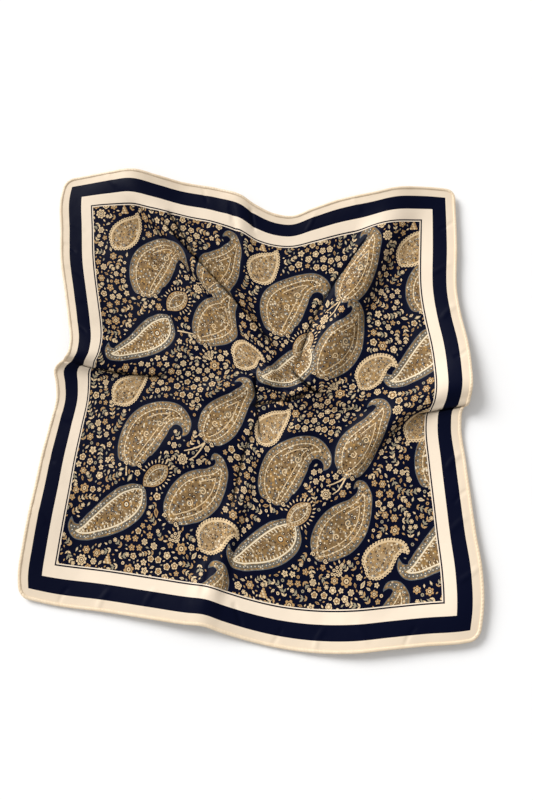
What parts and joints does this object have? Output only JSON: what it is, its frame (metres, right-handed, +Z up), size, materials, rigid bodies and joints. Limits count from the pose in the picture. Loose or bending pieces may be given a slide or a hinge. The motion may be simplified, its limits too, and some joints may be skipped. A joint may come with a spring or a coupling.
{
  "type": "neck scarf",
  "caption": "Square satin neck scarf with a paisley field, striped borders and rolled hems, dropped on a table in soft folds.",
  "frame": {"origin": "centre of the scarf's bounding box, on the surface that it lies on", "axes": "+Z up from the surface, +Y to the far edge as the picture shows it, +X to its right"},
  "size_m": [0.5087, 0.572, 0.0249],
  "materials": {
    "printed_satin": "satin print: navy field with gold and cream paisleys, cream and navy borders",
    "hem_satin": "cream satin, rolled and sewn with a fine tan thread"
  },
  "bodies": {
    "root": {"printed_square": "printed_satin", "hem_far": "hem_satin", "hem_right": "hem_satin", "hem_near": "hem_satin", "hem_left": "hem_satin"}
  },
  "joints": []
}
